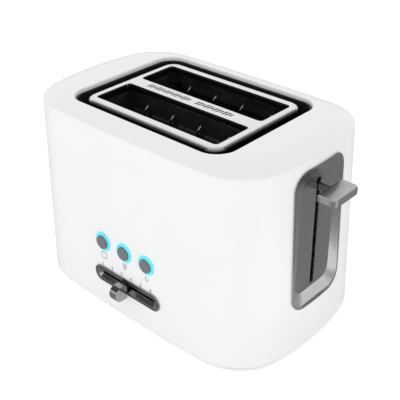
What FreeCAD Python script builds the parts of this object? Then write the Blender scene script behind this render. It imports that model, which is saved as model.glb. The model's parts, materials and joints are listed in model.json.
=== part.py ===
"""Two-slot pop-up toaster, as an assembly of separate pieces.

Millimetres. +X is the lever end, -Y is the front with the controls, +Z is up and z = 0 is the table.
The pieces are drawn about the middle of the housing, and save() moves them so that the origin is the
middle of the whole footprint, lever and slider knob included.
"""
import FreeCAD, Part
import math
import os
from FreeCAD import Vector

os.makedirs("parts", exist_ok=True)

# Housing
FOOT_H = 3.0
RIM_Z = 173.0
TOP_Z = 178.0
BASE_HALF_X, BASE_HALF_Y, BASE_R = 135.1, 87.1, 48.9
RIM_HALF_X, RIM_HALF_Y, RIM_R = 129.5, 81.9, 45.0
BAND_X, BAND_Y, BAND_R = 15.6, 16.8, 15.0
END_R, SIDE_R = 247.6, 2070.0
WALL = 2.5
LIP_RING_Z0, LIP_RING_Z1 = 169.5, 176.3
BOSS_Z0, BOSS_Z1, BOSS_R, BOSS_HOLE_R = 6.0, 28.0, 4.5, 1.5
TRIM_GAP = 0.05

# Cutters that go through a wall run past it by these spans
END_CUT = (115.0, 145.0)
FRONT_CUT = (-95.0, -75.0)
REAR_CUT = (75.0, 95.0)

# Top opening, trough and plate
CHAMBER_X = -1.3
OPEN_HALF_X, OPEN_HALF_Y, OPEN_R = 85.5, 63.1, 18.0
LIP_EDGE_R = 1.6
PLATE_HALF_X, PLATE_HALF_Y, PLATE_R = 75.1, 54.6, 11.8
PLATE_TOP, PLATE_SKIRT_Z = 176.0, 165.0
PLATE_EDGE_R = 3.4
PLATE_T = 1.0
SLOT_HALF_X, SLOT_HALF_Y, SLOT_Y, SLOT_R = 67.7, 19.6, 26.5, 3.5
SLOT_FLANGE_Z = 171.0
TROUGH_Z, TROUGH_TOP, UPSTAND_TOP = 158.0, 174.5, 168.0
TROUGH_FIT, TROUGH_WALL, TROUGH_FLOOR, UPSTAND_T = 0.3, 1.8, 2.0, 1.2
FLANGE_T = 0.8

# Toasting chamber
FLOOR_Z, FLOOR_T = 14.0, 1.0
FLOOR_BEFORE, FLOOR_BEYOND, FLOOR_HALF_Y = 84.0, 99.0, 62.0
WINDOW_HALF_X, WINDOW_HALF_Y, WINDOW_R = 62.0, 20.0, 4.0
SHEET_T = 0.8
CHAMBER_HALF_X = 70.0
END_T, END_TOP, END_TAB_TOP, END_TAB_HALF_Y = 1.0, 156.0, 168.0, 43.0
FOOT_FLANGE, FOOT_FLANGE_Y = 10.0, -48.0
ARM_SLOT_HALF_Y, ARM_SLOT_Z0, ARM_SLOT_Z1, ARM_SLOT_R = 4.0, 20.0, 121.0, 3.9
REFLECTOR_Y, REFLECTOR_TOP_Y = 56.0, 50.3
REFLECTOR_JOGGLE_Z0, REFLECTOR_JOGGLE_Z1, REFLECTOR_TOP_Z = 150.0, 155.0, 168.0
BEAD_Z, BEAD_R = 140.0, 2.2
PILL_X, PILL_HALF_X, PILL_HALF_Z = 31.0, 10.0, 2.0
DIVIDER_HALF_Y = 4.6
HEATER_Z0, HEATER_Z1 = 28.0, 148.0
HEATER_HALF_X, HEATER_T, HEATER_EAR = 64.0, 0.5, 6.0
OUTER_HEATER_Y, INNER_HEATER_Y = 53.2, 2.4
RIBBON_TURNS, RIBBON_HALF_Z, RIBBON_T = 9, 0.8, 0.3
WIRE_X = (-46.5, -15.5, 15.5, 46.5)
GUARD_HINGES = {"front_outer": -49.0, "front_inner": -6.6, "rear_inner": 6.6, "rear_outer": 49.0}
GUARD_HINGE_Z = 30.0
GUARD_TOP_Z, GUARD_FLARE_H, GUARD_FLARE_Y = 160.0, 3.4, 4.4
OUTER_GUARD_LEAN, INNER_GUARD_LEAN = 5.5, 4.0
GUARD_CROSS_HALF_X, GUARD_HINGE_OVER = 60.0, 2.5
GUARD_CROSS_AT = (0.35, 0.75)
TAB_Z, TAB_H, TAB_HALF_X = 162.5, 3.0, 3.0
GUARD_WIRE_R = 0.9
HINGE_CLEARANCE = 0.06

# Lever, carriage and its travel
LEVER_TRAVEL = 84.0
KNOB_TOP, KNOB_T = 148.0, 6.3
KNOB_X0, KNOB_X1, KNOB_HALF_Y, KNOB_R, KNOB_EDGE_R = 137.9, 154.5, 15.9, 4.5, 0.9
NECK_HALF_Y, BLADE_HALF_T, BLADE_HALF_Z, BLADE_IN, BLADE_FIT = 1.4, 0.6, 1.8, 8.0, 0.05
RACK_Z, RACK_T = 108.0, 1.2
RACK_HALF_X, RACK_HALF_Y, RACK_TONGUE_END, RACK_TONGUE_HALF_Y = 64.0, 6.0, 75.0, 2.5
RACK_TEETH, RACK_TOOTH_PITCH, RACK_TOOTH_H = 9, 14.0, 4.0
CARRIAGE_X, CARRIAGE_T = 76.5, 1.2
CARRIAGE_LOW, CARRIAGE_EAR_OUT, CARRIAGE_EAR_APART = 8.0, 8.0, 42.0
ROD_X, ROD_Y, ROD_R = 86.5, 14.0, 2.5
ROD_CLEARANCE = 0.06
SPRING_TOP_Z = 158.0
SPRING_COIL_R, SPRING_WIRE_R, SPRING_TURNS, SPRING_HOOK = 3.2, 0.5, 14, 3.0
HOOK_HOLE_R = 1.2
BRACKET_HALF_Y, BRACKET_T = 24.0, 1.2

# Lever bezel on the +X end
DISH_HALF_Y, DISH_Z0, DISH_Z1, DISH_R = 31.75, 41.0, 166.0, 15.0
DISH_FLOOR_X, DISH_FLOOR_T = 128.3, 1.2
DISH_FLOOR_HALF_Y, DISH_FLOOR_Z0, DISH_FLOOR_Z1, DISH_FLOOR_R = 22.0, 51.5, 155.5, 9.0
DISH_LIP, DISH_PROUD, DISH_LEDGE, DISH_PLUG = 2.0, 1.0, 1.5, 1.7
LEVER_SLOT_HALF_Y, LEVER_SLOT_Z0, LEVER_SLOT_Z1 = 2.5, 54.3, 149.7
LEVER_SLOT_R, LEVER_SLOT_RELIEF_R = 2.4, 3.2

# Front controls
CONTROL_FIT = 0.1
ROUND_END = 0.05
BUTTON_X = (-27.4, -1.5, 24.8)
BUTTON_Z = 67.2
LAMP_Z, LAMP_R, LAMP_FRONT = 77.1, 1.5, 77.6
BUTTON_NAMES = ("left", "centre", "right")
CAP_R, RING_IN_R, RING_OUT_R = 6.2, 6.55, 8.8
CAP_FRONT, RING_FRONT, RING_BACK = 88.0, 86.3, 81.0
CAP_BACK, KEEPER_BACK, KEEPER_OVER, STEM_BACK, STEM_R = 80.7, 79.9, 1.4, 79.4, 2.0
SWITCH_HALF, SWITCH_FRONT, PLUNGER_FRONT, PLUNGER_R = 4.0, 76.1, 77.1, 1.75
SLIDER_Z = 33.2
SLIDER_HALF_X, SLIDER_HALF_Z = 39.4, 8.0
SLIDER_FRONT, SLIDER_BACK = 86.95, 81.6
SLIDER_SLOT_HALF_X, SLIDER_SLOT_HALF_Z = 32.2, 1.4
SLIDER_RIM, SLIDER_VALLEY = 3.3, 2.6
SLIDER_KEEPER, SLIDER_KEEPER_FRONT = 1.6, 82.9
GROOVE_OUTER, GROOVE_INNER, GROOVE_DEPTH = 1.3, 2.1, 0.9
SLIDER_REST_X = -2.5
SLIDER_KNOB_TIP, SLIDER_GRIP_BACK = 100.5, 88.0
SLIDER_GRIP_HALF_X, SLIDER_GRIP_Z0, SLIDER_GRIP_Z1, SLIDER_GRIP_R = 4.0, 23.5, 37.5, 6.4
WIPER_HALF_X, WIPER_HALF_Z, WIPER_FRONT, WIPER_BACK, WIPER_FIT = 2.0, 0.6, 94.0, 75.0, 0.05
POT_HALF_X, POT_FRONT, POT_Z0, POT_Z1 = 41.0, 80.2, 28.0, 39.5
TRACK_HALF_X, TRACK_HALF_Z, TRACK_BACK = 34.0, 1.1, 74.4
BOARD_FRONT, BOARD_T = 72.6, 1.6
BOARD_HALF_X, BOARD_Z0, BOARD_Z1 = 50.0, 16.0, 84.0
FRAME_FRONT, FRAME_BACK, FRAME_SIDE, FRAME_LOWER, FRAME_UPPER = 81.3, 79.8, 5.5, 6.0, 5.0

# Underside and rear
COVER_T, COVER_FIT = 2.5, 0.4
VENT_HALF_X, VENT_R = 1.4, 1.3
END_VENTS, MID_VENTS = 7, 13
END_VENT_X, END_VENT_PITCH, END_VENT_HALF_Y = 78.0, 5.5, 22.0
MID_VENT_Y, MID_VENT_PITCH, MID_VENT_HALF_Y = 35.0, 8.0, 16.0
RAIL_X, RAIL_HALF_T, RAIL_TOP, RAIL_FRONT, RAIL_REAR = 63.6, 0.8, 12.5, -66.0, 80.0
FOOT_X, FOOT_Y, FOOT_R = 98.0, 52.0, 9.0
FOOT_SOCKET_R, FOOT_SOCKET_TOP, FOOT_PLUG_R, FOOT_PLUG_TOP = 4.0, 5.2, 3.9, 5.0
FOOT_DIMPLE_R, FOOT_DIMPLE = 3.0, 0.8
SCREW_R, SCREW_HEAD_R, SCREW_HEAD_H, SCREW_HEAD_Z, SCREW_TIP_Z = 1.5, 3.0, 1.6, 2.2, 22.0
SMALL_SCREW_R, SMALL_SCREW_HEAD_R, SMALL_SCREW_HEAD_Z, SMALL_SCREW_TIP_Z = 1.3, 2.6, 17.6, 8.0
CROSS_LENGTH, CROSS_WIDTH, CROSS_DEPTH = 2.0, 0.4, 0.8
BASE_SCREW_X, BASE_SCREW_Y = 94.0, 78.0
POST_X, POST_Y, POST_R, POST_HOLE_R = 77.0, 57.0, 4.0, 1.7
TRAY_HALF_X, TRAY_T, TRAY_Z0, TRAY_Z1 = 60.0, 0.8, 6.1, 12.0
TRAY_FRONT, TRAY_REAR = -62.0, 84.5
TRAY_LIP_SIDE, TRAY_LIP_Z0, TRAY_LIP_Z1, TRAY_LIP_T = 1.3, 3.6, 15.0, 2.1
TRAY_PULL_HALF_X, TRAY_PULL_OUT, TRAY_PULL_Z0, TRAY_PULL_Z1 = 22.0, 2.0, 11.4, 14.2
TRAY_DOOR_TOP, TRAY_DOOR_GAP = 15.5, 0.5
GLAND_X, GLAND_Z, GLAND_BORE_R = 78.0, 26.0, 3.6
GLAND_FRONT, GLAND_BACK = 74.0, 88.8
GLAND_R, GLAND_HOLE_R, GLAND_FLANGE_R, GLAND_KEEPER_R = 7.9, 8.0, 10.0, 9.4
COIL_R, CORE_R, CORE_TOP, COIL_Z0, COIL_Z1 = 6.8, 3.5, 24.0, 4.0, 21.0
MAGNET_X, MAGNET_HALF, MAGNET_FOOT, ARMATURE_T, ARMATURE_GAP = 12.5, 7.0, 3.0, 2.0, 0.3

# The origin of every file
ORIGIN = Vector((KNOB_X1 - BASE_HALF_X) / 2, (GLAND_BACK - SLIDER_KNOB_TIP) / 2, 0)


def save(name, *shapes):
    """Write one node, as one solid or as several separate ones."""
    shape = shapes[0] if len(shapes) == 1 else Part.makeCompound(list(shapes))
    shape = shape.copy()
    shape.translate(-ORIGIN)
    shape.exportStep(f"parts/{name}.step")


def box(x0, x1, y0, y1, z0, z1):
    return Part.makeBox(x1 - x0, y1 - y0, z1 - z0, Vector(x0, y0, z0))


def rod(start, end, radius):
    """A cylinder from one point to another."""
    a, b = Vector(*start), Vector(*end)
    return Part.makeCylinder(radius, (b - a).Length, a, b - a)


def through_y(x, z, radius, span):
    """A cylinder along Y over a span."""
    return rod((x, span[0], z), (x, span[1], z), radius)


def join(*shapes):
    whole = shapes[0].fuse(list(shapes[1:]))
    return whole.removeSplitter()


def mirror_y(shape):
    return shape.mirror(Vector(0, 0, 0), Vector(0, 1, 0))


def rounded_rect(half_u, half_v, radius):
    """A closed wire in the XY plane, about the origin."""
    points = []
    cu, cv = half_u - radius, half_v - radius
    mid = radius * math.sqrt(0.5)
    for su, sv in ((1, 1), (-1, 1), (-1, -1), (1, -1)):
        on_u = Vector(su * half_u, sv * cv, 0)
        on_v = Vector(su * cu, sv * half_v, 0)
        middle = Vector(su * (cu + mid), sv * (cv + mid), 0)
        points.append((on_u, middle, on_v) if su * sv > 0 else (on_v, middle, on_u))
    edges = []
    for i, (start, middle, end) in enumerate(points):
        edges.append(Part.Arc(start, middle, end).toShape())
        following = points[(i + 1) % 4][0]
        if (following - end).Length > 1e-6:
            edges.append(Part.LineSegment(end, following).toShape())
    return Part.Wire(edges)


def slab(half_x, half_y, radius, z0, z1, at=(0, 0)):
    """An upright prism with rounded corners."""
    wire = rounded_rect(half_x, half_y, radius)
    wire.translate(Vector(at[0], at[1], z0))
    return Part.Face(wire).extrude(Vector(0, 0, z1 - z0))


def quarter_steps(count=4):
    """Sine and cosine pairs over a quarter turn."""
    turns = [i * math.pi / 2 / count for i in range(count + 1)]
    return [(math.sin(t), math.cos(t)) for t in turns]


def soft_slab(half_x, half_y, radius, z0, z1, edge, at=(0, 0)):
    """An upright prism with rounded corners and a rounded top edge."""
    wires = [rounded_rect(half_x, half_y, radius)]
    wires[0].translate(Vector(at[0], at[1], z0))
    for sine, cosine in quarter_steps():
        inset = edge * (1 - cosine)
        wire = rounded_rect(half_x - inset, half_y - inset, radius - inset)
        wire.translate(Vector(at[0], at[1], z1 - edge + edge * sine))
        wires.append(wire)
    return Part.makeLoft(wires, True, True)


def front_slab(half_x, half_z, radius, y0, y1, x, z):
    """A prism along Y whose outline stands in the XZ plane."""
    wire = rounded_rect(half_x, half_z, radius)
    wire.rotate(Vector(0, 0, 0), Vector(1, 0, 0), 90)
    wire.translate(Vector(x, y0, z))
    return Part.Face(wire).extrude(Vector(0, y1 - y0, 0))


def end_outline(half_y, z0, z1, radius):
    """A rounded outline in the YZ plane."""
    wire = rounded_rect((z1 - z0) / 2, half_y, radius)
    wire.rotate(Vector(0, 0, 0), Vector(0, 1, 0), -90)
    wire.translate(Vector(0, 0, (z0 + z1) / 2))
    return wire


def end_slab(half_y, z0, z1, radius, x0, x1):
    """A prism along X whose outline stands in the YZ plane."""
    wire = end_outline(half_y, z0, z1, radius)
    wire.translate(Vector(x0, 0, 0))
    return Part.Face(wire).extrude(Vector(x1 - x0, 0, 0))


def circle_meet(c0, r0, c1, r1):
    """Where a circle about (c0, 0) crosses one about (0, c1), on the +X, +Y side."""
    apart = math.hypot(c0, c1)
    along = (r0 * r0 - r1 * r1 + apart * apart) / (2 * apart)
    off = math.sqrt(r0 * r0 - along * along)
    ux, uy = -c0 / apart, c1 / apart
    crossings = [(c0 + along * ux + s * off * uy, along * uy - s * off * ux) for s in (1, -1)]
    return max(crossings, key=lambda p: min(p))


def plan_wire(half_x, half_y, radius, z):
    """The housing's plan: four long shallow arcs, with a tangent arc at each corner."""
    end_r = END_R + half_x - RIM_HALF_X
    side_r = SIDE_R + half_y - RIM_HALF_Y
    end_c, side_c = half_x - end_r, half_y - side_r
    cx, cy = circle_meet(end_c, end_r - radius, side_c, side_r - radius)
    end_k, side_k = end_r / (end_r - radius), side_r / (side_r - radius)
    on_end = Vector(end_c + (cx - end_c) * end_k, cy * end_k, z)
    on_side = Vector(cx * side_k, side_c + (cy - side_c) * side_k, z)
    toward = Vector((on_end.x + on_side.x) / 2 - cx, (on_end.y + on_side.y) / 2 - cy, 0)
    middle = Vector(cx, cy, z) + toward.normalize() * radius

    def at(point, sx, sy):
        return Vector(point.x * sx, point.y * sy, point.z)

    edges = [
        Part.Arc(at(on_end, 1, -1), Vector(half_x, 0, z), on_end),
        Part.Arc(on_end, middle, on_side),
        Part.Arc(on_side, Vector(0, half_y, z), at(on_side, -1, 1)),
        Part.Arc(at(on_side, -1, 1), at(middle, -1, 1), at(on_end, -1, 1)),
        Part.Arc(at(on_end, -1, 1), Vector(-half_x, 0, z), at(on_end, -1, -1)),
        Part.Arc(at(on_end, -1, -1), at(middle, -1, -1), at(on_side, -1, -1)),
        Part.Arc(at(on_side, -1, -1), Vector(0, -half_y, z), at(on_side, 1, -1)),
        Part.Arc(at(on_side, 1, -1), at(middle, 1, -1), at(on_end, 1, -1)),
    ]
    return Part.Wire([edge.toShape() for edge in edges])


def wall_section(z, skin=0.0):
    """Half sizes, corner radius and height of the drafted wall."""
    t = (z - FOOT_H) / (RIM_Z - FOOT_H)
    half_x = BASE_HALF_X + (RIM_HALF_X - BASE_HALF_X) * t - skin
    half_y = BASE_HALF_Y + (RIM_HALF_Y - BASE_HALF_Y) * t - skin
    return half_x, half_y, BASE_R + (RIM_R - BASE_R) * t - skin, z


def band_section(share, skin=0.0):
    """The sloped shoulder: share 0 is the rim, 1 is the start of the flat top."""
    rise = (TOP_Z - RIM_Z) * min(share, 1.0)
    return (
        RIM_HALF_X - BAND_X * share - skin,
        RIM_HALF_Y - BAND_Y * share - skin,
        RIM_R - BAND_R * share - skin,
        RIM_Z + rise - skin,
    )


def rounded_turn(before, corner, after, steps=4):
    """Sections of a smooth turn from one section to another, past a corner."""
    sections = []
    for i in range(steps + 1):
        t = i / steps
        weights = ((1 - t) ** 2, 2 * t * (1 - t), t * t)
        sections.append(tuple(
            sum(w * s[k] for w, s in zip(weights, (before, corner, after))) for k in range(4)
        ))
    return sections


def housing_block(skin, z0):
    """The whole body as one solid, with its outside moved inward by skin."""
    rim = band_section(0, skin)
    below_rim = wall_section(RIM_Z - 1.6 - skin, skin)
    sections = [wall_section(z0, skin)]
    sections += rounded_turn(below_rim, rim, band_section(0.1, skin))
    sections += rounded_turn(band_section(0.65, skin), band_section(1, skin), band_section(1.35, skin))
    return Part.makeLoft([plan_wire(*section) for section in sections], True, True)


def wall_block(grow):
    """The drafted wall only, as a solid grown outward."""
    lower, upper = wall_section(FOOT_H, -grow), wall_section(RIM_Z, -grow)
    return Part.makeLoft([plan_wire(*lower), plan_wire(*upper)], True, True)


def opening_tool():
    """The top opening with its rounded lip, as a cutter."""
    low = rounded_rect(OPEN_HALF_X, OPEN_HALF_Y, OPEN_R)
    low.translate(Vector(CHAMBER_X, 0, TROUGH_Z))
    wires = [low]
    for sine, cosine in quarter_steps():
        out = LIP_EDGE_R * (1 - cosine)
        wire = rounded_rect(OPEN_HALF_X + out, OPEN_HALF_Y + out, OPEN_R + out)
        wire.translate(Vector(CHAMBER_X, 0, TOP_Z - LIP_EDGE_R + LIP_EDGE_R * sine))
        wires.append(wire)
    cap = slab(OPEN_HALF_X + LIP_EDGE_R, OPEN_HALF_Y + LIP_EDGE_R, OPEN_R + LIP_EDGE_R,
               TOP_Z, TOP_Z + 5, (CHAMBER_X, 0))
    return join(Part.makeLoft(wires, True, True), cap)


def screw(x, y, head_z, tip_z, head_r, shank_r):
    """An upright cross-head screw. Its head is at head_z and its tip at tip_z, above or below."""
    way = 1 if tip_z > head_z else -1
    head = rod((x, y, head_z), (x, y, head_z + way * SCREW_HEAD_H), head_r)
    shank = rod((x, y, head_z), (x, y, tip_z), shank_r)
    bars = ((CROSS_LENGTH, CROSS_WIDTH), (CROSS_WIDTH, CROSS_LENGTH))
    cross = join(*[box(x - u, x + u, y - v, y + v, -CROSS_DEPTH, CROSS_DEPTH) for u, v in bars])
    cross.translate(Vector(0, 0, head_z))
    return join(head, shank).cut(cross)


def four_ways(x, y, about_x=0.0):
    """The four corners of a rectangle about a point on the X axis."""
    return [(about_x + sx * x, sy * y) for sx in (-1, 1) for sy in (-1, 1)]


def posts_at():
    return four_ways(POST_X, POST_Y, CHAMBER_X)


# ---------------------------------------------------------------- housing, covers and feet
def make_housing():
    outer = housing_block(0, FOOT_H)
    inner = housing_block(WALL, FOOT_H - 2)
    shell = outer.cut(inner)
    lip_ring = slab(OPEN_HALF_X + WALL, OPEN_HALF_Y + WALL, OPEN_R + WALL, LIP_RING_Z0, LIP_RING_Z1,
                    (CHAMBER_X, 0))
    screws_at = four_ways(BASE_SCREW_X, BASE_SCREW_Y)
    bosses = [rod((x, y, BOSS_Z0), (x, y, BOSS_Z1), BOSS_R) for x, y in screws_at]
    shell = join(shell, lip_ring, *bosses)
    cutters = [opening_tool()]
    cutters.append(end_slab(DISH_HALF_Y - DISH_LEDGE, DISH_Z0 + DISH_LEDGE, DISH_Z1 - DISH_LEDGE,
                            DISH_R - DISH_LEDGE, *END_CUT))
    cutters.append(front_slab(SLIDER_HALF_X + CONTROL_FIT, SLIDER_HALF_Z + CONTROL_FIT,
                              SLIDER_HALF_Z + CONTROL_FIT - ROUND_END, *FRONT_CUT, 0, SLIDER_Z))
    cutters += [through_y(x, BUTTON_Z, RING_OUT_R + CONTROL_FIT, FRONT_CUT) for x in BUTTON_X]
    cutters.append(through_y(GLAND_X, GLAND_Z, GLAND_HOLE_R, REAR_CUT))
    door = TRAY_HALF_X + TRAY_LIP_SIDE + TRAY_DOOR_GAP
    cutters.append(box(-door, door, 70, REAR_CUT[1], 0, TRAY_DOOR_TOP))
    cutters += [rod((x, y, BOSS_Z0 - 1), (x, y, BOSS_Z1 - 4), BOSS_HOLE_R) for x, y in screws_at]
    return shell.cut(cutters)


def make_base_cover():
    half_x, half_y, radius, _ = wall_section(FOOT_H, WALL + COVER_FIT)
    plate = Part.Face(plan_wire(half_x, half_y, radius, FOOT_H)).extrude(Vector(0, 0, COVER_T))
    top = FOOT_H + COVER_T
    posts = [rod((x, y, top), (x, y, FLOOR_Z), POST_R) for x, y in posts_at()]
    rails = [box(x - RAIL_HALF_T, x + RAIL_HALF_T, RAIL_FRONT, RAIL_REAR, top, RAIL_TOP)
             for x in (-RAIL_X, RAIL_X)]
    stop = box(-TRAY_HALF_X, TRAY_HALF_X, RAIL_FRONT, RAIL_FRONT + 2 * RAIL_HALF_T, top, RAIL_TOP)
    cover = join(plate, *posts, *rails, stop)
    below, above = FOOT_H - 1, top + 1.5
    vents = []
    for way in (-1, 1):
        for i in range(END_VENTS):
            x = way * (END_VENT_X + END_VENT_PITCH * i)
            vents.append(slab(VENT_HALF_X, END_VENT_HALF_Y, VENT_R, below, above, (x, 0)))
        for i in range(MID_VENTS):
            x = MID_VENT_PITCH * (i - MID_VENTS // 2)
            vents.append(slab(VENT_HALF_X, MID_VENT_HALF_Y, VENT_R, below, above, (x, way * MID_VENT_Y)))
    holes = [rod((x, y, 0), (x, y, FOOT_SOCKET_TOP), FOOT_SOCKET_R) for x, y in four_ways(FOOT_X, FOOT_Y)]
    for x, y in four_ways(BASE_SCREW_X, BASE_SCREW_Y):
        holes.append(rod((x, y, below), (x, y, above + 1), SCREW_R + 0.1))
        holes.append(rod((x, y, below), (x, y, FOOT_H + 0.8), SCREW_HEAD_R + 0.3))
    holes += [rod((x, y, above), (x, y, FLOOR_Z + 6), SMALL_SCREW_R) for x, y in posts_at()]
    return cover.cut(vents + holes)


def make_foot(x, y):
    """A rubber foot: a dished pad with a plug for the cover's socket."""
    pad = Part.makeCone(FOOT_R - 0.8, FOOT_R, FOOT_H, Vector(x, y, 0))
    plug = rod((x, y, FOOT_H), (x, y, FOOT_PLUG_TOP), FOOT_PLUG_R)
    dimple = rod((x, y, -1), (x, y, FOOT_DIMPLE), FOOT_DIMPLE_R)
    return join(pad, plug).cut(dimple)


def make_trough():
    """A dark ring channel under the rim, with an upstand inside the plate's skirt."""
    at = (CHAMBER_X, 0)

    def ring_slab(half_x, half_y, radius, inset, z0, z1):
        return slab(half_x - inset, half_y - inset, radius - inset, z0, z1, at)
    outside = (OPEN_HALF_X, OPEN_HALF_Y, OPEN_R)
    inside = (PLATE_HALF_X, PLATE_HALF_Y, PLATE_R)
    clear = PLATE_T + TROUGH_FIT - 0.1
    outer = ring_slab(*outside, TROUGH_FIT, TROUGH_Z, TROUGH_TOP)
    channel = ring_slab(*outside, TROUGH_FIT + TROUGH_WALL, TROUGH_Z + TROUGH_FLOOR, TROUGH_TOP + 1)
    upstand = ring_slab(*inside, clear, TROUGH_Z, UPSTAND_TOP)
    hole = ring_slab(*inside, clear + UPSTAND_T, TROUGH_Z - 1, UPSTAND_TOP + 1)
    return join(outer.cut(channel), upstand).cut(hole)


def make_top_plate():
    """Stainless plate: a rounded top with a skirt, and a turned-down edge round each slot."""
    at = (CHAMBER_X, 0)
    skin = soft_slab(PLATE_HALF_X, PLATE_HALF_Y, PLATE_R, PLATE_SKIRT_Z, PLATE_TOP, PLATE_EDGE_R, at)
    hollow = soft_slab(PLATE_HALF_X - PLATE_T, PLATE_HALF_Y - PLATE_T, PLATE_R - PLATE_T,
                       PLATE_SKIRT_Z - 1, PLATE_TOP - PLATE_T, PLATE_EDGE_R - PLATE_T, at)
    plate = skin.cut(hollow)
    slots = []
    flanges = []
    for side in (-1, 1):
        centre = (CHAMBER_X, side * SLOT_Y)
        flanges.append(slab(SLOT_HALF_X + FLANGE_T, SLOT_HALF_Y + FLANGE_T, SLOT_R + FLANGE_T,
                            SLOT_FLANGE_Z, PLATE_TOP - PLATE_T / 2, centre))
        slots.append(slab(SLOT_HALF_X, SLOT_HALF_Y, SLOT_R, SLOT_FLANGE_Z - 2, PLATE_TOP + 1, centre))
    return join(plate, *flanges).cut(slots)


# ---------------------------------------------------------------- toasting chamber
def post_holes():
    return [rod((x, y, FLOOR_Z - 4), (x, y, FLOOR_Z + 6), POST_HOLE_R) for x, y in posts_at()]


def make_chassis_floor():
    below, above = FLOOR_Z - 4, FLOOR_Z + 6
    plate = box(CHAMBER_X - FLOOR_BEFORE, CHAMBER_X + FLOOR_BEYOND, -FLOOR_HALF_Y, FLOOR_HALF_Y,
                FLOOR_Z, FLOOR_Z + FLOOR_T)
    windows = [slab(WINDOW_HALF_X, WINDOW_HALF_Y, WINDOW_R, below, above, (CHAMBER_X, side * SLOT_Y))
               for side in (-1, 1)]
    holes = post_holes()
    holes.append(rod((ROD_X, -ROD_Y, below), (ROD_X, -ROD_Y, above), ROD_R))
    end_x = CHAMBER_X + FLOOR_BEYOND
    corner = box(end_x - 11, end_x + 1, -FLOOR_HALF_Y - 1, -30, below, above)
    return plate.cut(windows + holes + [corner, mirror_y(corner)])


def make_chamber_end(side):
    """Upright steel end plate, with arm slots for the racks and hinge holes for the guards."""
    inner = side * CHAMBER_HALF_X + CHAMBER_X
    outer = inner + side * END_T
    x0, x1 = min(inner, outer), max(inner, outer)
    base = FLOOR_Z + FLOOR_T
    plate = box(x0, x1, -FLOOR_HALF_Y, FLOOR_HALF_Y, base, END_TOP)
    plate = join(plate, box(x0, x1, -END_TAB_HALF_Y, END_TAB_HALF_Y, END_TOP - 6, END_TAB_TOP))
    cuts = []
    for y in (-SLOT_Y, SLOT_Y):
        arm_slot = end_slab(ARM_SLOT_HALF_Y, ARM_SLOT_Z0, ARM_SLOT_Z1, ARM_SLOT_R, x0 - 1, x1 + 1)
        arm_slot.translate(Vector(0, y, 0))
        cuts.append(arm_slot)
    for y in GUARD_HINGES.values():
        cuts.append(rod((x0 - 1, y, GUARD_HINGE_Z), (x1 + 1, y, GUARD_HINGE_Z),
                        GUARD_WIRE_R + HINGE_CLEARANCE))
    toe = outer + side * FOOT_FLANGE
    foot = box(min(outer, toe), max(outer, toe), -FLOOR_HALF_Y, FOOT_FLANGE_Y, base, base + END_T)
    return join(plate.cut(cuts), foot, mirror_y(foot)).cut(post_holes())


def make_reflector():
    """Rear heat shield: a flat sheet with a rounded bead and a joggle in towards the slot."""
    t = SHEET_T
    y0, y1 = REFLECTOR_Y, REFLECTOR_TOP_Y
    x0, x1 = CHAMBER_X - CHAMBER_HALF_X, CHAMBER_X + CHAMBER_HALF_X
    points = [(y0, FLOOR_Z + FLOOR_T), (y0, REFLECTOR_JOGGLE_Z0), (y1, REFLECTOR_JOGGLE_Z1),
              (y1, REFLECTOR_TOP_Z)]
    outline = [Vector(x0, y, z) for y, z in points] + [Vector(x0, y + t, z) for y, z in reversed(points)]
    sheet = Part.Face(Part.makePolygon(outline + outline[:1])).extrude(Vector(x1 - x0, 0, 0))
    bead = rod((x0 + 2, y0 + t / 2, BEAD_Z), (x1 - 2, y0 + t / 2, BEAD_Z), BEAD_R)
    bead = bead.cut(box(x0, x1, y0 + t, y0 + 2 * BEAD_R, BEAD_Z - 2 * BEAD_R, BEAD_Z + 2 * BEAD_R))
    tabs = [box(CHAMBER_X + x - TAB_HALF_X, CHAMBER_X + x + TAB_HALF_X, y1 - 1.2, y1, TAB_Z, TAB_Z + TAB_H)
            for x in WIRE_X]
    cuts = [front_slab(PILL_HALF_X, PILL_HALF_Z, PILL_HALF_Z - 0.1, y1 - 5, y1 + 5, CHAMBER_X + x,
                       TAB_Z + TAB_H / 2) for x in (-PILL_X, PILL_X)]
    for x in (x0 + 4, x1 - 4):
        cuts.append(box(x - 5, x + 5, y1 - 10, y1 + 10, REFLECTOR_JOGGLE_Z1 - 1, REFLECTOR_TOP_Z + 2))
    return join(sheet, bead, *tabs).cut(cuts)


def make_centre_divider():
    """A folded channel that holds the tops of the two inner heater sheets."""
    half, t = DIVIDER_HALF_Y, SHEET_T
    x0, x1 = CHAMBER_X - CHAMBER_HALF_X, CHAMBER_X + CHAMBER_HALF_X
    channel = box(x0, x1, -half, half, HEATER_Z1 + 2, REFLECTOR_TOP_Z)
    channel = channel.cut(box(x0 - 1, x1 + 1, t - half, half - t, HEATER_Z1, REFLECTOR_TOP_Z - t))
    tabs = []
    for x in WIRE_X:
        middle = CHAMBER_X + x
        tabs.append(box(middle - TAB_HALF_X, middle + TAB_HALF_X, half, half + 0.6, TAB_Z, TAB_Z + TAB_H))
    return join(channel, *tabs, *[mirror_y(tab) for tab in tabs])


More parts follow.
